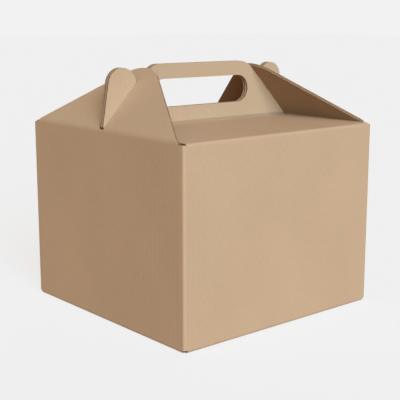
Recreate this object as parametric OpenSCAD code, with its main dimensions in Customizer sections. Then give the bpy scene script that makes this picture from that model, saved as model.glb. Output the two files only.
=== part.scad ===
// Gable box of kraft corrugated board: a square carton with a flat roof, an upright
// carrying handle of two boards, and a gable flap at each side.
// X runs along the front, Y from the front to the back, Z up.
// The origin is in the middle of the underside.

/* [Box] */
// Width of the box, outside
box_w = 250; // [244:1:320]
// Depth of the box, outside
box_d = 250; // [200:1:320]
// Height of the roof's upper surface above the underside
box_h = 190; // [120:1:260]
// Thickness of the corrugated board
board = 3; // [2:0.1:4]

/* [Roof and handle] */
// Gap between each end of the roof and the side wall beside it
roof_gap = 0.5; // [0.3:0.1:1]
// Inner radius of the fold where the roof turns up into the handle
valley_r = 2.5; // [1:0.1:4]
// Gap between the handle's two boards
handle_gap = 0.4; // [0.3:0.1:1]
// Height of the handle above the roof
handle_h = 61; // [56:1:90]
// How far the folds at the handle's foot stay back from the roof's ends, clear of the flaps
valley_back = 1; // [1:0.1:2]
// Radius of the handle's upper left corner
left_corner_r = 16; // [8:1:30]
// Radius of the handle's upper right corner
right_corner_r = 28; // [8:1:30]
// Overall length of the hand hole
hole_l = 129; // [90:1:136]
// Height of the hand hole, whose ends are half circles
hole_h = 28.5; // [20:0.5:32]
// Height of the hand hole's middle above the roof
hole_z = 31.8; // [24:0.2:36]

/* [Ears] */
// Radius of the left ear's round head
left_ear_r = 16.3; // [14:0.1:18]
// Distance of the left head's centre from its flap's fold, measured up the flap
left_ear_along = 46.4; // [42:0.1:50]
// Distance of the left head's centre from its flap's outer face
left_ear_out = 10.9; // [8:0.1:13]
// Radius of the right ear's round head
right_ear_r = 15; // [14:0.1:18]
// Distance of the right head's centre from its flap's fold, measured up the flap
right_ear_along = 48.6; // [42:0.1:50]
// Distance of the right head's centre from its flap's outer face
right_ear_out = 9.7; // [8:0.1:13]
// Distance of the ear's heel from the side wall's outer face
heel_in = 0.75; // [0.5:0.05:3]
// Gap between the ear's heel and the top of the side wall
heel_gap = 1.5; // [0.6:0.1:3]

/* [Gable flaps] */
// Height above the roof where a flap's outer face would meet the side wall's outer face
gable_rise = 1.5; // [1:0.1:4]
// Outer radius of the soft fold between a side wall and its flap
gable_bend_r = 8; // [6:0.5:10]
// Slope of the two flaps, which lie against the handle
lean = 46.2; // [40:0.1:50]
// Distance from the box's corners to the flap's edges, at the fold
flap_inset = 9.7; // [8:0.1:16]
// Length of the flap beyond its slit
flap_tip = 12.6; // [8:0.1:30]
// Radius of the flap's rounded top
flap_top_r = 45; // [20:0.5:50]
// Gap between a flap and the sloping edge of the handle that it lies on
flap_clear = 0.35; // [0.3:0.05:0.6]
// Gap on each side between an ear and the slit that it passes through
slit_clear = 0.3; // [0.3:0.05:0.6]
// Gap between a flap and its side wall across the fold
fold_gap = 0.3; // [0.2:0.05:0.5]

/* [Walls and bottom] */
// How far the box's upper corners stay below the roof's surface
corner_drop = 1.5; // [0.5:0.1:3]
// Width of the tab that joins the back wall to the right wall
tab_w = 30; // [20:1:40]
// Gap between the two bottom flaps of a pair
seam = 0.5; // [0.3:0.1:2]
// Gap between the side walls' feet and the ends of the front and back bottom flaps
bottom_gap = 1; // [0.5:0.1:5]
// How far the folded edge presses into the seam at the back right corner
seam_press = 0.3; // [0.2:0.1:0.6]

/* [Hidden] */
$fn = 96;
kraft = [0.80, 0.68, 0.56];
half_w = box_w / 2;
half_d = box_d / 2;
// Inner faces of the walls
in_w = half_w - board;
in_d = half_d - board;
// Half the length of the roof and of its fold along X
roof_half = in_w - roof_gap;
// Centre of the fold between the front roof panel and the front handle board
valley_y = -(handle_gap / 2 + board + valley_r);
valley_z = box_h + valley_r;
// Values of the left and the right end, with the end's number as index
corner_r = [left_corner_r, right_corner_r];
ear_r = [left_ear_r, right_ear_r];
ear_along = [left_ear_along, right_ear_along];
ear_out = [left_ear_out, right_ear_out];
// Side view of an end: distance in from the wall's outer face, height above the roof
fold_corner = [0, gable_rise];
heel = [heel_in, gable_rise + heel_gap];
// Directions up a flap, and out from its outer face
run = [cos(lean), sin(lean)];
out = [-sin(lean), cos(lean)];
// The sloping edge of the handle, one board and one gap behind the flap's outer face
slope_point = fold_corner - out * (board + flap_clear);
// Distance from the fold's corner to where its soft bend begins
bend_reach = gable_bend_r * tan((90 - lean) / 2);
// The slit is as long as the heads' reach from the fold, with its clearance
reaches = [for (end = [0, 1]) norm([ear_along[end], ear_out[end]]) + ear_r[end]];
slit_end = max(reaches) + 2 * slit_clear;
slit_w = 2 * board + handle_gap + 2 * slit_clear;
// Outline of a flap, in slope length and Y: its edges touch its rounded top
flap_y = half_d - flap_inset;
top_s = slit_end + flap_tip - flap_top_r;
flap_edge_deg = atan2(flap_y, top_s) - asin(flap_top_r / norm([top_s, flap_y]));
flap_edge_len = sqrt(pow(norm([top_s, flap_y]), 2) - pow(flap_top_r, 2));
touch = [0, flap_y] + flap_edge_len * [cos(flap_edge_deg), -sin(flap_edge_deg)];
// The outline starts on the wall's side of the fold
foot = [0, flap_y] - gable_bend_r * [cos(flap_edge_deg), -sin(flap_edge_deg)];
// Half the length of the fold between a side wall and its flap
fold_half = flap_y + gable_rise;
// Side of the open notch at each corner of the bottom, where the folds end
bottom_notch = board + bottom_gap;
// How far the round corners' circles lap over the edges that they meet
round_lap = 0.05;
// Longer than any flap
far = 2 * box_h;

// Extrudes a side view, drawn in Y and Z, along X
module along_x(from, to) {
  translate([from, 0, 0]) rotate([90, 0, 90]) linear_extrude(to - from) children();
}

// Extrudes an end view, drawn in X and Z, along Y
module along_y(from, to) {
  translate([0, to, 0]) rotate([90, 0, 0]) linear_extrude(to - from) children();
}

// Rectangle between two corners
module rect(a, b) {
  translate(a) square(b - a);
}

// Quarter of a disc in the quadrant that the signs name
module quarter(centre, r, sx, sy) {
  translate(centre) intersection() {
    circle(r);
    quadrant(r + 1, sx, sy);
  }
}

// Square from the origin into one quadrant
module quadrant(side, sx, sy) {
  translate([min(0, sx * side), min(0, sy * side)]) square(side);
}

// Rectangle about the origin with round corners
module round_rect(w, d, r) {
  square([w - 2 * r, d], center = true);
  square([w, d - 2 * r], center = true);
  for (sx = [-1, 1], sy = [-1, 1]) translate([sx * (w / 2 - r), sy * (d / 2 - r)]) circle(r);
}

// Plan view of the four walls: at the back the right wall ends in a cut edge
module wall_plan() {
  difference() {
    round_rect(box_w, box_d, board);
    square([2 * in_w, 2 * in_d], center = true);
    back_right_corner();
  }
  rect([in_w, in_d - board], [half_w, half_d]);
  quarter([in_w - board + seam_press, in_d], board, 1, 1);
}

// The corner where the back wall folds inward, behind the right wall
module back_right_corner() {
  rect([in_w - board + seam_press, in_d], [half_w + board, half_d + board]);
}

// Plan view of the walls near the four corners
module corner_plan(dx, dy) {
  intersection() {
    wall_plan();
    for (sx = [-1, 1], sy = [-1, 1]) {
      translate([sx * (half_w - dx / 2), sy * (half_d - dy / 2)]) square([dx, dy], center = true);
    }
  }
}

// The four walls as far as their folds
module walls() {
  translate([0, 0, 2 * board]) linear_extrude(box_h - 3 * board) wall_plan();
  translate([0, 0, board]) linear_extrude(board) corner_plan(bottom_notch, bottom_notch);
  translate([0, 0, box_h - board]) linear_extrude(board - corner_drop) {
    corner_plan(half_w - roof_half, half_d - fold_half);
  }
}

// Tab of the back wall, glued inside the right wall
module glue_tab() {
  translate([0, 0, 4 * board]) linear_extrude(box_h - 6 * board) {
    rect([in_w - board, in_d - tab_w], [in_w, in_d]);
  }
}

// Front wall's ends, bottom flap, roof panel and handle board, seen from the side
module front_panels() {
  along_x(-half_w + bottom_notch, half_w - bottom_notch) {
    rect([-half_d, board], [-in_d, 2 * board]);
    quarter([-in_d, board], board, -1, -1);
    rect([-in_d, 0], [-seam / 2, board]);
  }
  along_x(-roof_half, roof_half) {
    quarter([-in_d, box_h - board], board, -1, 1);
    rect([-in_d, box_h - board], [valley_y, box_h]);
  }
  along_x(-roof_half + valley_back, roof_half - valley_back) difference() {
    quarter([valley_y, valley_z], valley_r + board, 1, -1);
    translate([valley_y, valley_z]) circle(valley_r);
  }
  along_y(-handle_gap / 2 - board, -handle_gap / 2) handle_outline();
}

// Foot of the left wall, and its bottom flap, which lies on the front and back ones
module left_panels() {
  along_y(-half_d + bottom_notch, half_d - bottom_notch) {
    quarter([-in_w, board], board, -1, -1);
    rect([-half_w, board], [-seam / 2, 2 * board]);
  }
}

// Front view of a handle board with both ears and the hand hole
module handle_outline() {
  difference() {
    for (end = [0, 1]) mirror([end, 0]) translate([-half_w, box_h]) half_handle(end);
    hand_hole();
  }
}

// Point of the handle's sloping edge at a height above the roof
function slope_at(z) = slope_point + run * ((z - slope_point[1]) / run[1]);

// Centre of an ear's head
function head(end) = fold_corner + ear_along[end] * run + ear_out[end] * out;

// Distance up the flap where the head's outline leaves the flap's outer face
function neck_s(end) = ear_along[end] + sqrt(pow(ear_r[end], 2) - pow(ear_out[end], 2));

// Distance and direction from the heel to where the ear's outer edge touches the head
function edge_len(end) = sqrt(pow(norm(head(end) - heel), 2) - pow(ear_r[end], 2));
function edge_deg(end) =
  atan2(head(end)[1] - heel[1], head(end)[0] - heel[0]) + asin(ear_r[end] / norm(head(end) - heel));

// Left half of a handle board, from the wall's outer face and the roof's surface
module half_handle(end) {
  // The neck reaches a little into the notch, which cuts it off
  difference() {
    union() {
      polygon([
        [half_w, valley_r],
        [half_w, handle_h],
        slope_at(handle_h),
        slope_at(valley_r)
      ]);
      polygon([
        heel,
        heel + edge_len(end) * [cos(edge_deg(end)), sin(edge_deg(end))],
        head(end),
        fold_corner + (neck_s(end) + flap_clear / 2) * run,
        slope_point + neck_s(end) * run,
        slope_at(valley_r) + [board, 0],
        [half_w - roof_half, valley_r],
        [half_w - roof_half, heel[1]]
      ]);
      translate(head(end)) circle(ear_r[end]);
    }
    handle_corner_cut(end);
    notch(end);
  }
}

// What the rounding takes off the handle's upper corner
module handle_corner_cut(end) {
  size = corner_r[end] + 1;
  centre = slope_at(handle_h) + corner_r[end] * [tan(lean / 2), -1];
  translate(centre) difference() {
    polygon([[0, 0], [0, size], size * [-tan(lean / 2), 1], size * out]);
    circle(corner_r[end] + round_lap);
  }
}

// The gap between the ear's head and the handle, where the flap's board lies
module notch(end) {
  translate(slope_point + neck_s(end) * run) rotate(lean) {
    square([far, board + 2 * flap_clear]);
  }
}

// Opening for the hand, with half circles at its ends
module hand_hole() {
  translate([0, box_h + hole_z]) {
    square([hole_l - hole_h, hole_h], center = true);
    for (side = [-1, 1]) translate([side * (hole_l - hole_h) / 2, 0]) circle(hole_h / 2);
  }
}

// Half of the soft fold, from the end of a flat panel at X = 0 to the mitre less a gap
module half_bend(gap) {
  size = 2 * gable_bend_r;
  difference() {
    circle(gable_bend_r);
    circle(gable_bend_r - board);
    translate([0, -size]) square([size, 2 * size]);
    rotate(90 + (90 - lean) / 2) translate([-size, -gap]) square([2 * size, size]);
  }
}

// Top of a side wall at the left, as far as the mitre in its soft fold
module wall_top() {
  wall_end = gable_rise - bend_reach;
  along_y(-fold_half, fold_half) translate([-half_w, box_h]) {
    rect([0, -board], [board, wall_end]);
    translate([gable_bend_r, wall_end]) rotate(-90) mirror([0, 1]) half_bend(0);
  }
}

// Outline of a flap, drawn with the slope along X and its fold's corner at the origin
module flap_outline() {
  difference() {
    union() {
      polygon([[foot[0], -foot[1]], [touch[0], -touch[1]], touch, foot]);
      translate([top_s, 0]) circle(flap_top_r);
    }
    translate([-far, -slit_w / 2]) square([far + slit_end, slit_w]);
  }
}

// Flap of the left side, with the slit for the ear
module flap() {
  translate([-half_w, 0, box_h + gable_rise]) rotate([0, -lean, 0]) intersection() {
    along_y(-half_d, half_d) {
      rect([bend_reach, -board], [far, 0]);
      translate([bend_reach, -gable_bend_r]) half_bend(fold_gap);
    }
    linear_extrude(far, center = true) flap_outline();
  }
}

// Walls, bottom, roof and handle, folded and glued from one sheet
module carton() {
  color(kraft) {
    walls();
    glue_tab();
    front_panels();
    mirror([0, 1, 0]) front_panels();
    left_panels();
    mirror([1, 0, 0]) left_panels();
    wall_top();
    mirror([1, 0, 0]) wall_top();
  }
}

// Gable flap of the left side wall
module left_gable_flap() {
  color(kraft) flap();
}

// Gable flap of the right side wall
module right_gable_flap() {
  color(kraft) mirror([1, 0, 0]) flap();
}

carton();
left_gable_flap();
right_gable_flap();
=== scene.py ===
"""Looks of the gable box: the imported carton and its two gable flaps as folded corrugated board.

Lengths below are in millimetres, and the meshes are made in metres.
X runs along the front, Y from the front to the back, Z up.
A flat place on the unfolded board is a across the flutes and b along them.
A place in a section of the folded board is p and q.
"""

from collections import namedtuple
from itertools import product
from math import asin, atan2, ceil, cos, degrees, floor, hypot, pi, radians, sin, sqrt, tan

import bmesh
import bpy
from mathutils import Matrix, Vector
from mathutils.geometry import delaunay_2d_cdt


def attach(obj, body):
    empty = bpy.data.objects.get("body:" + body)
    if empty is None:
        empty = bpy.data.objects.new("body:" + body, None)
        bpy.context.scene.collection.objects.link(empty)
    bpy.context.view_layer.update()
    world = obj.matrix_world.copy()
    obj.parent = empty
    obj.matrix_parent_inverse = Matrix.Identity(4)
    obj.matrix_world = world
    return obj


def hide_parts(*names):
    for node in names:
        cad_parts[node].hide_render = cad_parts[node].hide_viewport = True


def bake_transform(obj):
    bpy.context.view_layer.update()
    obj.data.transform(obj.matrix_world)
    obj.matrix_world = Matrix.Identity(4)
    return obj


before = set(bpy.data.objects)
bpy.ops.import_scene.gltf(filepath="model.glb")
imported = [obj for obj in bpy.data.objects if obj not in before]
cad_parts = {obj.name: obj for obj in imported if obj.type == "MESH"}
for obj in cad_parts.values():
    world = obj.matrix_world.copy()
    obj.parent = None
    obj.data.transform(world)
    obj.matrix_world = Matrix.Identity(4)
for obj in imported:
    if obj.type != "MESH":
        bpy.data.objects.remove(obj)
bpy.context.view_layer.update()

MM = 0.001

# Box
HALF = 125.0
ROOF = 190.0
BOARD = 3.0
ROOF_HALF = 121.5
VALLEY_R = 2.5
VALLEY_HALF = 120.5
HANDLE_GAP = 0.4
SEAM = 0.5

# Handle: heights above the roof, and the ears' heels, by their distance in from the side wall's
# outer face and their height above the roof
HANDLE_H = 61.0
HOLE_HALF = 64.5
HOLE_R = 14.25
HOLE_Z = 31.8
HEEL = (0.75, 3.0)

# Gable flaps: lengths up the slope are measured from the corner of the fold
LEAN = 46.2
RISE = 1.5
BEND_R = 8.0
BEND_REACH = BEND_R * tan(radians(90 - LEAN) / 2)
FLAP_Y = 115.3
FOLD_HALF = 116.8
TOP_R = 45.0
TIP = 77.76
SLIT_HALF = 3.5
SLIT_CLEAR = 0.4
CLEAR = 0.35

# The two ends differ a little: the handle's upper corner, and the round head of the ear, whose
# centre is given along its flap and out from the flap's outer face
End = namedtuple("End", "corner_r head_r along out")
ENDS = {
    "left": End(16.0, 16.3, 46.4, 10.9),
    "right": End(28.0, 15.0, 48.6, 9.7),
}

# Walls and bottom
POST_TOP = 188.5
POST = 4.0
TAB_W = 30.0
TAB_Z = (12.0, 184.0)
TAB_TAPER = 8.0

# Corrugated board: two liners, a wavy core between them, and a dark sheet of painted shade that closes the
# flutes
LINER = 0.42
CORE = 0.28
PITCH = 6.3
# Columns of the core's mesh and of the shade sheet's, and how far both stay back from a cut edge
CORE_STEP = PITCH / 6
CORE_RECESS = 0.25
FLUTE_SHADE_STEP = 2.5
FLUTE_SHADE_RECESS = 0.5
# Columns stay at least this share of a step away from the two ends of the mesh
FIRST_STEP = 0.2
# A stretch inside the outline is filled where it is longer than this many recesses
LEAST_STRETCH = 3
# Points of a column stay this far apart, and neighbouring columns lap past each other by up to LAP
POINT_GAP = 0.05
LAP = 1.6
# Steps along a fold's arc in degrees, and along a cut curve, and the vertices beside a fold
ARC_STEP = 7.5
CURVE_STEP = 0.7
BESIDE_FOLD = 0.5
# How near two points count as one, in flat places
SAME_POINT = 1e-5
ON_CUT = 1e-4
# Angle between faces, in degrees, past which an edge is sharp
SHARP = 38
# Place of the painted valley shade on a board that has none
NO_VALLEY_SHADE = -1000.0
# Places of the materials on a piece
OUTER, INNER, INSIDE, EDGE, CORED = range(5)


class Path:
    """Outer face of a folded board, seen from the side: runs and arcs, with the board on the right."""

    def __init__(self, p, q, heading):
        self.runs = []
        self.length = 0.0
        self.tip = (p, q, radians(heading))

    def add(self, length, curve):
        self.runs.append((self.length, self.length + length, *self.tip, curve))
        self.length += length
        self.tip = self.walk(self.runs[-1], length)
        return self

    def line(self, length):
        return self.add(length, 0.0)

    def turn(self, angle, radius):
        """Turns left by an angle in degrees, or right where it is negative."""
        return self.add(radius * abs(radians(angle)), (1 if angle > 0 else -1) / radius)

    @staticmethod
    def walk(run, along):
        _, _, p, q, heading, curve = run
        if curve == 0:
            return p + cos(heading) * along, q + sin(heading) * along, heading
        turned = heading + curve * along
        return (
            p + (sin(turned) - sin(heading)) / curve,
            q - (cos(turned) - cos(heading)) / curve,
            turned,
        )

    def at(self, s, depth):
        run = next((r for r in self.runs if s <= r[1]), self.runs[-1])
        p, q, heading = self.walk(run, s - run[0])
        return p + depth * sin(heading), q - depth * cos(heading)

    def breaks(self):
        """Distances along the path where the mesh needs vertices."""
        cuts = set()
        for start, end, _, _, _, curve in self.runs:
            if curve:
                steps = max(2, ceil(degrees(abs(curve) * (end - start)) / ARC_STEP))
                cuts.update(start + (end - start) * i / steps for i in range(steps + 1))
                cuts.update((start - BESIDE_FOLD, end + BESIDE_FOLD))
        return sorted(cuts)


def arc(centre, r, start, end, step=CURVE_STEP):
    """Points of an arc between two angles in degrees, both ends included."""
    count = max(2, ceil(abs(radians(end - start)) * r / step))
    angles = [radians(start + (end - start) * i / count) for i in range(count + 1)]
    return [(centre[0] + r * cos(a), centre[1] + r * sin(a)) for a in angles]


def cut_out(loops, a_breaks=(), b_breaks=()):
    """Flat mesh inside closed loops, the first of them the outline, cut at the given lines."""
    points, edges, faces = [], [], []
    for loop in loops:
        first = len(points)
        count = len(loop)
        points += [Vector(p) for p in loop]
        edges += [(first + i, first + (i + 1) % count) for i in range(count)]
        faces.append([first + i for i in range(count)])
    verts, _, tris, _, _, _ = delaunay_2d_cdt(points, edges, faces, 0, SAME_POINT)
    bm = bmesh.new()
    made = [bm.verts.new((v.x, v.y, 0)) for v in verts]
    for tri in tris:
        centre = sum((Vector(verts[i]) for i in tri), Vector((0, 0))) / 3
        if inside(centre, loops[0]) and not any(inside(centre, hole) for hole in loops[1:]):
            bm.faces.new([made[i] for i in tri])
    bmesh.ops.delete(bm, geom=[v for v in bm.verts if not v.link_faces], context="VERTS")
    for axis, cuts in ((0, a_breaks), (1, b_breaks)):
        for cut in cuts:
            normal = (1, 0, 0) if axis == 0 else (0, 1, 0)
            where = (cut, 0, 0) if axis == 0 else (0, cut, 0)
            everything = bm.verts[:] + bm.edges[:] + bm.faces[:]
            bmesh.ops.bisect_plane(bm, geom=everything, plane_co=where, plane_no=normal, dist=ON_CUT)
    bm.verts.index_update()
    flat = [(v.co.x, v.co.y) for v in bm.verts], [[v.index for v in f.verts] for f in bm.faces]
    bm.free()
    return flat


def inside(point, loop):
    """True if a point lies inside a closed loop."""
    x, y = point
    hit = False
    for (x1, y1), (x2, y2) in zip(loop, loop[1:] + loop[:1]):
        if (y1 > y) != (y2 > y) and x < x1 + (y - y1) * (x2 - x1) / (y2 - y1):
            hit = not hit
    return hit


def spans(a, loops, recess):
    """Stretches of the line at a that lie inside the loops, shorter by the recess at each end."""
    hits = []
    for loop in loops:
        for (a1, b1), (a2, b2) in zip(loop, loop[1:] + loop[:1]):
            if (a1 > a) != (a2 > a):
                hits.append(b1 + (a - a1) * (b2 - b1) / (a2 - a1))
    hits.sort()
    pairs = zip(hits[::2], hits[1::2])
    return [(lo + recess, hi - recess) for lo, hi in pairs if hi - lo > LEAST_STRETCH * recess]


def columns_between(loops, b_breaks, step, recess):
    """Flat mesh in columns across the flutes, a little inside the loops."""
    low = min(a for a, _ in loops[0]) + recess
    high = max(a for a, _ in loops[0]) - recess
    steps = range(ceil(low / step + FIRST_STEP), floor(high / step - FIRST_STEP) + 1)
    columns = []
    for a in (low, *[i * step for i in steps], high):
        stretches = []
        for start, end in spans(a, loops, recess):
            middle = [b for b in b_breaks if start + POINT_GAP < b < end - POINT_GAP]
            stretches.append([(a, b) for b in (start, *middle, end)])
        columns.append(stretches)
    faces = []
    for one, two in zip(columns, columns[1:]):
        for left, right in product(one, two):
            start = max(left[0][1], right[0][1])
            end = min(left[-1][1], right[-1][1])
            if end > start:
                faces += zipped(clipped(left, start - LAP, end + LAP), clipped(right, start - LAP, end + LAP))
    points = list(dict.fromkeys(p for face in faces for p in face))
    index = {p: i for i, p in enumerate(points)}
    return points, [[index[p] for p in face] for face in faces]


def clipped(column, low, high):
    """Part of a column of points between two places, with points at its new ends."""
    a = column[0][0]
    start, end = max(low, column[0][1]), min(high, column[-1][1])
    return [(a, start), *[p for p in column if start < p[1] < end], (a, end)]


def zipped(left, right):
    """Triangles between two columns of points."""
    faces = []
    i, j = 0, 0
    while i + 1 < len(left) or j + 1 < len(right):
        done = j + 1 == len(right)
        if done or (i + 1 < len(left) and left[i + 1][1] <= right[j + 1][1]):
            faces.append((left[i], right[j], left[i + 1]))
            i += 1
        else:
            faces.append((left[i], right[j], right[j + 1]))
            j += 1
    return faces


class Build:
    """Collects the sheets of one piece: vertices in mm, faces, their materials and flat places."""

    def __init__(self):
        self.bm = bmesh.new()
        self.flat = self.bm.loops.layers.uv.new("flat")
        self.score = self.bm.loops.layers.uv.new("score")

    def thicken(self, sheet, place, near, far, finish, score):
        """Adds a closed sheet between two depths, each a function of the place across the flutes."""
        points, polygons = sheet
        sides = []
        for depth in (near, far):
            sides.append([self.bm.verts.new(place(a, b, depth(a))) for a, b in points])
        where = {v: p for side in sides for v, p in zip(side, points)}
        made = []
        count = {}
        for polygon in polygons:
            made.append((self.bm.faces.new([sides[0][i] for i in polygon]), finish[0]))
            made.append((self.bm.faces.new([sides[1][i] for i in reversed(polygon)]), finish[1]))
            for i, j in zip(polygon, polygon[1:] + polygon[:1]):
                count.setdefault((min(i, j), max(i, j)), []).append((i, j))
        for uses in count.values():
            if len(uses) == 1:
                i, j = uses[0]
                rim = [sides[0][j], sides[0][i], sides[1][i], sides[1][j]]
                made.append((self.bm.faces.new(rim), finish[2]))
        bmesh.ops.recalc_face_normals(self.bm, faces=[f for f, _ in made])
        for face, material in made:
            face.material_index = material
            face.smooth = True
            for loop in face.loops:
                a, b = where[loop.vert]
                loop[self.flat].uv = (a * MM, b * MM)
                loop[self.score].uv = (b - score, 0)

    def board(self, loops, place, b_breaks=(), a_breaks=(), score=NO_VALLEY_SHADE, inner_edge=EDGE):
        """Adds corrugated board: outer liner, inner liner, core, and a dark sheet of painted shade in the
        flutes.
        """

        def level(depth):
            return lambda a: depth

        def wave(depth):
            swing = (BOARD - 2 * LINER - CORE) / 2
            return lambda a: depth + swing * cos(2 * pi * a / PITCH)

        middle = BOARD / 2
        sheet = cut_out(loops, a_breaks, b_breaks)
        flute_shade_sheet = columns_between(loops, b_breaks, FLUTE_SHADE_STEP, FLUTE_SHADE_RECESS)
        core = columns_between(loops, b_breaks, CORE_STEP, CORE_RECESS)
        for flat, near, far, finish in (
            (sheet, level(0), level(LINER), (OUTER, INSIDE, EDGE)),
            (sheet, level(BOARD - LINER), level(BOARD), (INSIDE, INNER, inner_edge)),
            (flute_shade_sheet, level(LINER), level(BOARD - LINER), (CORED, CORED, CORED)),
            (core, wave(middle - CORE / 2), wave(middle + CORE / 2), (CORED, CORED, CORED)),
        ):
            self.thicken(flat, place, near, far, finish, score)

    def finish(self, name, node):
        """Makes the piece, which takes the place of a node."""
        mesh = bpy.data.meshes.new(name)
        for v in self.bm.verts:
            v.co *= MM
        self.bm.to_mesh(mesh)
        self.bm.free()
        mesh.set_sharp_from_angle(angle=radians(SHARP))
        for material in MATERIALS:
            mesh.materials.append(material)
        obj = bpy.data.objects.new(name, mesh)
        bpy.context.scene.collection.objects.link(obj)
        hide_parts(node)
        return obj


def strip(path, side):
    """Puts a strip's flat places on one side of the box: across it, and along its path."""

    def place(a, b, depth):
        p, q = path.at(b, depth)
        return {
            "front": (a, p, q),
            "back": (-a, -p, q),
            "left": (p, -a, q),
            "right": (-p, a, q),
        }[side]

    return place


def upright(path, sx=1, sy=1):
    """Puts flat places on a wall that turns in plan: along its path, and up."""

    def place(a, b, depth):
        p, q = path.at(a, depth)
        return sx * p, sy * q, b

    return place


# Path of the front and back boards, with the distances along it where its parts begin or end
front_path = (
    Path(-SEAM / 2, 0, 180)
    .line(HALF - BOARD - SEAM / 2)
    .turn(-90, BOARD)
    .line(ROOF - 2 * BOARD)
    .turn(-90, BOARD)
    .line(HALF - BOARD - VALLEY_R - BOARD - HANDLE_GAP / 2)
    .turn(90, VALLEY_R)
    .line(HANDLE_H - VALLEY_R)
)
_, wall_foot, wall_head, _, roof_end, handle_foot = [r[1] for r in front_path.runs[:6]]


def up_slope(s, t):
    """Side view place of a point at s up the flap and t outside its outer face."""
    c, n = cos(radians(LEAN)), sin(radians(LEAN))
    return s * c - t * n, RISE + s * n + t * c


def neck(end):
    """Distance up the flap where the ear's head leaves the flap's outer face."""
    return end.along + sqrt(end.head_r**2 - end.out**2)


def handle_half(end):
    """Right half of the handle's outline with its ear, from the fold at its foot upward."""
    head = up_slope(end.along, end.out)
    du, dz = head[0] - HEEL[0], head[1] - HEEL[1]
    edge = degrees(atan2(dz, du) + asin(end.head_r / hypot(du, dz)))
    behind = -(BOARD + CLEAR)
    last = LEAN - degrees(asin((end.out - CLEAR) / end.head_r))
    line_u, line_z = up_slope(0, behind)
    corner_u = line_u + (HANDLE_H - line_z) / tan(radians(LEAN))
    centre = (corner_u + end.corner_r * tan(radians(LEAN / 2)), HANDLE_H - end.corner_r)
    side_view = (
        [(HALF - ROOF_HALF, VALLEY_R), (HALF - ROOF_HALF, HEEL[1]), HEEL]
        + arc(head, end.head_r, edge + 90, last)
        + [up_slope(neck(end), CLEAR), up_slope(neck(end), behind)]
        + arc(centre, end.corner_r, 90 + LEAN, 90)
    )
    return [(HALF - u, handle_foot + z - VALLEY_R) for u, z in side_view]


def hand_hole():
    """Outline of the hand hole in flat places."""
    b = handle_foot + HOLE_Z - VALLEY_R
    return arc((HOLE_HALF - HOLE_R, b), HOLE_R, -90, 90) + arc((HOLE_R - HOLE_HALF, b), HOLE_R, 90, 270)


def strip_half(end, wall_half):
    """Right half of the front or back strip, from its bottom flap to the top of its handle."""
    bottom = [(HALF - POST, 0), (HALF - POST, wall_foot)]
    wall = [(wall_half, wall_foot), (wall_half, wall_head), (ROOF_HALF, wall_head)]
    roof = [(ROOF_HALF, roof_end), (VALLEY_HALF, roof_end), (VALLEY_HALF, handle_foot)]
    return list(dict.fromkeys(bottom + wall + roof + handle_half(end)))


def strip_loops(side):
    """Outline of the front or back strip, and its hand hole."""
    if side == "front":
        right = strip_half(ENDS["right"], ROOF_HALF)
        left = strip_half(ENDS["left"], ROOF_HALF)
    else:
        right = strip_half(ENDS["left"], ROOF_HALF)
        left = strip_half(ENDS["right"], HALF - 2 * BOARD)
    return [right + [(-a, b) for a, b in reversed(left)], hand_hole()]


# Path of a side wall, from under the box to the soft bend into its gable flap
side_path = (
    Path(BOARD - HALF, 0, 180)
    .turn(-90, BOARD)
    .line(ROOF + RISE - BEND_REACH - BOARD)
)
side_foot = side_path.runs[0][1]

# Path of a side's bottom flap, which lies on the front and back ones
inner_flap_path = Path(-SEAM / 2, BOARD, 180).line(HALF - BOARD - SEAM / 2)


def side_loop(side):
    """Outline of a side wall: at the back the right wall ends in a cut edge."""
    top = side_path.length
    start = (HALF - POST, 0)
    corner_foot = side_foot + BOARD
    half = [start, (HALF - POST, corner_foot), (FOLD_HALF, corner_foot), (FOLD_HALF, top)]
    back = half
    if side == "right":
        back = [start, (HALF - POST, side_foot), (HALF, side_foot), (HALF, top), half[3]]
    return back + [(-a, b) for a, b in reversed(half)]


def inner_flap_loop():
    """Outline of a side's bottom flap."""
    half, end = HALF - POST, inner_flap_path.length
    return [(half, 0), (half, end), (-half, end), (-half, 0)]


# Path of a gable flap, from the end of its wall round the soft bend
flap_path = Path(-HALF, ROOF + RISE - BEND_REACH, 90).turn(LEAN - 90, BEND_R).line(TIP - BEND_REACH)
bend_end = flap_path.runs[0][1]


def flap_loops(end):
    """Outline of a gable flap, and its slit, from the middle of the soft bend to the ear's neck."""
    fold = bend_end - BEND_REACH
    edge = atan2(FLAP_Y, TIP - TOP_R) - asin(TOP_R / hypot(TIP - TOP_R, FLAP_Y))
    foot = [(FOLD_HALF, 0), (FLAP_Y, bend_end / 2), (FLAP_Y - BEND_REACH * tan(edge), bend_end)]
    half = foot + arc((0, fold + TIP - TOP_R), TOP_R, degrees(edge), 90)
    outline = half + [(-a, b) for a, b in reversed(half[:-1])]
    start, stop = bend_end / 2, fold + neck(end) + SLIT_CLEAR
    slit = [(-SLIT_HALF, start), (SLIT_HALF, start), (SLIT_HALF, stop), (-SLIT_HALF, stop)]
    return [outline, slit]


# Materials


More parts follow.
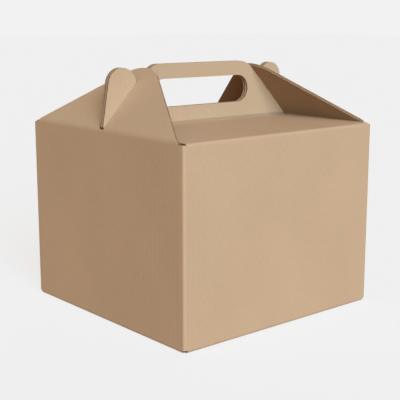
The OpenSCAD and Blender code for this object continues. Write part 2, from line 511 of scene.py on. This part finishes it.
class Nodes:
    """Short way to write the node tree of a material or world."""

    def __init__(self, owner):
        owner.use_nodes = True
        self.owner = owner
        self.tree = owner.node_tree

    def clear(self):
        for node in list(self.tree.nodes):
            self.tree.nodes.remove(node)

    def add(self, kind, **values):
        node = self.tree.nodes.new("ShaderNode" + kind)
        for key, value in values.items():
            if hasattr(node, key):
                setattr(node, key, value)
            else:
                node.inputs[key.replace("_", " ")].default_value = value
        return node

    def link(self, out, into):
        self.tree.links.new(out, into)

    def stretched(self, scale):
        """Flat places on the sheet, stretched by a scale across and along the flutes."""
        flat = self.add("UVMap", uv_map="flat")
        mapping = self.add("Mapping")
        mapping.inputs["Scale"].default_value = (*scale, 1)
        self.link(flat.outputs["UV"], mapping.inputs["Vector"])
        return mapping.outputs["Vector"]

    def noise(self, scale, detail, roughness):
        node = self.add("TexNoise", Scale=1.0, Detail=detail, Roughness=roughness)
        self.link(self.stretched(scale), node.inputs["Vector"])
        return node.outputs["Fac"]

    def ramp(self, value, *stops):
        node = self.add("ValToRGB")
        self.link(value, node.inputs["Fac"])
        elements = node.color_ramp.elements
        while len(elements) < len(stops):
            elements.new(0.5)
        for element, (place, colour) in zip(elements, stops):
            element.position = place
            element.color = (*colour, 1)
        return node.outputs["Color"]

    def mix(self, kind, factor, one, two):
        node = self.add("Mix", data_type="RGBA", blend_type=kind)
        sockets = {s.identifier: s for s in node.inputs}
        for name, value in (
            ("Factor_Float", factor),
            ("A_Color", one),
            ("B_Color", two),
        ):
            if isinstance(value, bpy.types.NodeSocket):
                self.link(value, sockets[name])
            else:
                sockets[name].default_value = value
        return next(s for s in node.outputs if s.identifier == "Result_Color")


def grey(value):
    return (value, value, value)


def shade(colour, factor):
    return tuple(c * factor for c in colour)


# Marks of the paper, in cells per metre across and along the flutes
FIBRES = (900, 170)
CLOUDS = (14, 9)
GRAIN = (2600, 2100)
SPECKS = (420, 190)
SPECK_SPREAD = (75, 60)
SPECK_SHADE = 0.45
# Depth of the paper's roughness
PAPER_BUMP = 0.05
# The wave texture runs through this many radians in each unit
WAVE_RADIANS = 20

# Painted shade along the valley fold at the handle's foot: the stretch that it lies in, and its shades, at
# distances along the board from the upper end of the fold
VALLEY_SHADE_START = -6.0
VALLEY_SHADE_END = 2.0
VALLEY_SHADE_STOPS = ((-4.0, 1.0), (-2.96, 0.84), (-1.52, 0.66), (-0.32, 0.72), (0.64, 1.0))


def painted_valley_shade(n):
    """Painted shade: a dark line in the valley fold at the handle's foot, the darkest near the handle."""
    place = n.add("SeparateXYZ")
    n.link(n.add("UVMap", uv_map="score").outputs["UV"], place.inputs["Vector"])
    across = n.add("MapRange")
    across.inputs["From Min"].default_value = VALLEY_SHADE_START
    across.inputs["From Max"].default_value = VALLEY_SHADE_END
    n.link(place.outputs["X"], across.inputs["Value"])
    length = VALLEY_SHADE_END - VALLEY_SHADE_START
    stops = [((at - VALLEY_SHADE_START) / length, grey(value)) for at, value in VALLEY_SHADE_STOPS]
    return n.ramp(across.outputs["Result"], *stops)


def specks(n):
    """Mask of the few dark specks."""
    cells = n.add("TexVoronoi", Scale=1.0)
    cells.feature = "F1"
    n.link(n.stretched(SPECKS), cells.inputs["Vector"])
    marks = n.ramp(cells.outputs["Distance"], (0.045, grey(1)), (0.085, grey(0)))
    rare = n.ramp(n.noise(SPECK_SPREAD, 2.0, 0.5), (0.55, grey(0)), (0.62, grey(0.5)))
    return n.mix("MULTIPLY", 1.0, marks, rare)


def paper_normal(n, fibres, flute):
    """Bump of the flutes, of a depth in mm, with the paper's own roughness on them."""
    wave = n.add("TexWave", wave_type="BANDS", bands_direction="X", wave_profile="SIN")
    wave.inputs["Scale"].default_value = 1.0
    n.link(n.stretched((2 * pi / (WAVE_RADIANS * PITCH * MM), 0)), wave.inputs["Vector"])
    washboard = n.add("Bump", Strength=1.0, Distance=flute * MM)
    n.link(wave.outputs["Fac"], washboard.inputs["Height"])
    rough_paper = n.add("Bump", Strength=0.35, Distance=PAPER_BUMP * MM)
    n.link(fibres, rough_paper.inputs["Height"])
    n.link(washboard.outputs["Normal"], rough_paper.inputs["Normal"])
    return rough_paper.outputs["Normal"]


def kraft(name, colour, light, dark, flute):
    """Kraft paper: long fibres, mottling, a few dark specks, and the flutes showing faintly."""
    n = Nodes(bpy.data.materials.new(name))
    shader = n.tree.nodes["Principled BSDF"]
    fibres = n.noise(FIBRES, 5.0, 0.65)
    tones = (
        n.ramp(fibres, (0.30, grey(dark)), (0.72, grey(light))),
        n.ramp(n.noise(CLOUDS, 3.0, 0.5), (0.3, (0.965, 0.96, 0.95)), (0.7, (1.03, 1.03, 1.03))),
        n.ramp(n.noise(GRAIN, 2.0, 0.6), (0.3, grey(0.95)), (0.7, grey(1.04))),
    )
    base = (*colour, 1)
    for tone in tones:
        base = n.mix("MULTIPLY", 1.0, base, tone)
    base = n.mix("MIX", specks(n), base, (*shade(colour, SPECK_SHADE), 1))
    # Painted shade along the valley fold at the handle's foot
    base = n.mix("MULTIPLY", 1.0, base, painted_valley_shade(n))
    n.link(base, shader.inputs["Base Color"])
    n.link(n.ramp(fibres, (0.2, grey(0.74)), (0.8, grey(0.9))), shader.inputs["Roughness"])
    shader.inputs["Specular IOR Level"].default_value = 0.25
    n.link(paper_normal(n, fibres, flute), shader.inputs["Normal"])
    return n.owner


KRAFT = (0.600, 0.430, 0.285)
# Inner kraft: paper a little darker than the outer, darkened much further as painted shade for the shaded
# inner faces
SHADED_BROWN = (0.370, 0.240, 0.145)
MATERIALS = [
    kraft("kraft_outer", KRAFT, light=1.05, dark=0.93, flute=0.05),
    kraft("kraft_inner_shaded", SHADED_BROWN, light=1.06, dark=0.90, flute=0.05),
    kraft("kraft_hidden", SHADED_BROWN, light=1.06, dark=0.90, flute=0.02),
    kraft("kraft_cut_edge", shade(KRAFT, 0.94), light=1.08, dark=0.82, flute=0.0),
    # Core: the medium's own darker brown, darkened further as painted shade of the flute cavities; it also
    # colours the shade sheet
    kraft("kraft_core_and_flute_shade", shade(SHADED_BROWN, 0.86), light=1.08, dark=0.85, flute=0.0),
]

# Carton

carton = Build()
for side in ("front", "back"):
    # The front and back boards carry the painted valley shade at the handle's foot
    carton.board(strip_loops(side), strip(front_path, side), front_path.breaks(), score=handle_foot)
for side in ("left", "right"):
    carton.board([side_loop(side)], strip(side_path, side), side_path.breaks())
    carton.board([inner_flap_loop()], strip(inner_flap_path, side))

# Three corners fold in one piece, from the front or back wall to a side wall
corner_path = (
    Path(-ROOF_HALF, -HALF, 180)
    .line(HALF - BOARD - ROOF_HALF)
    .turn(-90, BOARD)
    .line(HALF - BOARD - FOLD_HALF)
)
corner_end = corner_path.length
notch_side = corner_end - (HALF - POST - FOLD_HALF)
corner_loop = [
    (0, BOARD),
    (notch_side, BOARD),
    (notch_side, 2 * BOARD),
    (corner_end, 2 * BOARD),
    (corner_end, POST_TOP),
    (0, POST_TOP),
]
for sx, sy in ((1, 1), (-1, 1), (1, -1)):
    carton.board([corner_loop], upright(corner_path, sx, sy), (), corner_path.breaks())

# The fourth is glued: the back wall's edge folds in behind the right wall's cut edge
tab_path = Path(HALF - 2 * BOARD, HALF, 0).turn(-90, BOARD).line(TAB_W)
tab_fold = tab_path.runs[0][1]
tab_end = tab_path.length
tab_loop = [
    (0, BOARD),
    (tab_fold, BOARD),
    (tab_fold, TAB_Z[0]),
    (tab_end, TAB_Z[0] + TAB_TAPER),
    (tab_end, TAB_Z[1] - TAB_TAPER),
    (tab_fold, TAB_Z[1]),
    (tab_fold, ROOF - BOARD),
    (0, ROOF - BOARD),
]
carton.board([tab_loop], upright(tab_path), (), tab_path.breaks())
carton_piece = carton.finish("carton_board", "carton")
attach(carton_piece, "carton")

# Gable flaps, which bend at the top of their side walls
for side, sign in (("left", 1), ("right", -1)):
    flap = Build()
    # The inner liner's cut edge takes the darkened inner kraft: painted shade along the flap's rim
    flap.board(flap_loops(ENDS[side]), strip(flap_path, side), flap_path.breaks(), inner_edge=INNER)
    flap_piece = flap.finish(f"{side}_flap_board", f"{side}_gable_flap")
    (p0, q0), (p1, q1) = flap_path.at(0, 0), flap_path.at(bend_end, 0)
    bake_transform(flap_piece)

# Floor, light and background

# Brightness of the background, where 1 is white
BACKGROUND = 0.888
# The floor that the camera sees: an even glow, with a share of lit floor that keeps the shadow
FLOOR_GLOW = 0.98
SHADOW_SHARE = 0.25
FLOOR_SHOWN = (0.78, 0.86, 0.95)
# The floor and the sky as they light the object
FLOOR_LIT = (0.60, 0.36, 0.16)
SKY = (0.44, 0.23, 0.09)
# Half the floor's side and its height, in metres, just below the box
FLOOR_HALF = 12.0
FLOOR_Z = -2e-5

# Camera at the photograph's viewpoint: lens and sensor in millimetres, place and clipping in
# metres, angles in degrees
LENS = 81.136
SENSOR = 36.0
CAMERA_PLACE = (-0.609288, -0.715104, 0.296231)
CAMERA_DOWN = 11.4554
CAMERA_TURN = -40.4217
CLIP_START = 0.05
CLIP_END = 50.0


def camera_only(n, lighting, behind):
    """Mix of two shaders: the first for light, the second for what the camera or a mirror sees."""
    path = n.add("LightPath")
    seen = n.add("Math", operation="MAXIMUM")
    n.link(path.outputs["Is Camera Ray"], seen.inputs[0])
    glossy = n.add("Math", operation="MAXIMUM")
    n.link(path.outputs["Is Glossy Ray"], glossy.inputs[0])
    n.link(path.outputs["Is Transmission Ray"], glossy.inputs[1])
    n.link(glossy.outputs[0], seen.inputs[1])
    mix = n.add("MixShader")
    n.link(seen.outputs[0], mix.inputs["Fac"])
    n.link(lighting, mix.inputs[1])
    n.link(behind, mix.inputs[2])
    return mix.outputs["Shader"]


def floor_material():
    """Warm floor for the light, and a pale one with the object's shadow for the camera."""
    n = Nodes(bpy.data.materials.new("floor"))
    lit = n.add("BsdfDiffuse", Color=(*FLOOR_LIT, 1))
    shown = n.add("BsdfDiffuse", Color=(*FLOOR_SHOWN, 1))
    glow = n.add("Emission", Color=(1, 1, 1, 1), Strength=FLOOR_GLOW)
    seen = n.add("MixShader")
    seen.inputs["Fac"].default_value = SHADOW_SHARE
    n.link(glow.outputs["Emission"], seen.inputs[1])
    n.link(shown.outputs["BSDF"], seen.inputs[2])
    surface = camera_only(n, lit.outputs["BSDF"], seen.outputs["Shader"])
    n.link(surface, n.tree.nodes["Material Output"].inputs["Surface"])
    return n.owner


def make_floor():
    """Square floor under the box."""
    mesh = bpy.data.meshes.new("floor")
    signs = ((-1, -1), (1, -1), (1, 1), (-1, 1))
    mesh.from_pydata([(x * FLOOR_HALF, y * FLOOR_HALF, FLOOR_Z) for x, y in signs], [], [(0, 1, 2, 3)])
    mesh.materials.append(floor_material())
    obj = bpy.data.objects.new("floor", mesh)
    bpy.context.scene.collection.objects.link(obj)
    return obj


def make_world():
    """Warm sky, brightest overhead, with a plain pale background for the camera."""
    world = bpy.data.worlds.new("studio")
    bpy.context.scene.world = world
    n = Nodes(world)
    n.clear()
    sky = n.add("Background", Color=(*SKY, 1))
    direction = n.add("SeparateXYZ")
    n.link(n.add("TexCoord").outputs["Generated"], direction.inputs["Vector"])
    overhead = n.add("Math", operation="MAXIMUM")
    overhead.inputs[1].default_value = 0
    n.link(direction.outputs["Z"], overhead.inputs[0])
    n.link(overhead.outputs["Value"], sky.inputs["Strength"])
    back = n.add("Background", Color=(1, 1, 1, 1), Strength=BACKGROUND)
    surface = camera_only(n, sky.outputs["Background"], back.outputs["Background"])
    n.link(surface, n.add("OutputWorld").inputs["Surface"])


def sun(name, toward, strength, colour, spread):
    """Soft distant lamp that shines from the given direction, with its spread in degrees."""
    data = bpy.data.lights.new(name, "SUN")
    data.energy = strength
    data.color = colour
    data.angle = radians(spread)
    lamp = bpy.data.objects.new(name, data)
    lamp.rotation_mode = "QUATERNION"
    lamp.rotation_quaternion = Vector(toward).to_track_quat("Z", "Y")
    bpy.context.scene.collection.objects.link(lamp)


def make_camera():
    """Camera at the photograph's viewpoint, tilted down and turned about the vertical."""
    data = bpy.data.cameras.new("camera")
    data.lens = LENS
    data.sensor_width = SENSOR
    data.clip_start = CLIP_START
    data.clip_end = CLIP_END
    camera = bpy.data.objects.new("camera", data)
    camera.location = CAMERA_PLACE
    camera.rotation_euler = (radians(90 - CAMERA_DOWN), 0, radians(CAMERA_TURN))
    bpy.context.scene.collection.objects.link(camera)
    return camera


make_floor()
make_world()
sun("key", (-0.392, -0.815, 0.428), 0.97 * pi, (0.85, 1.02, 1.12), 45)
sun("back_fill", (0.70, 0.70, 0.10), 0.30 * pi, (1.0, 0.97, 0.92), 40)
bpy.context.scene.camera = make_camera()
bpy.context.scene.view_settings.view_transform = "Standard"
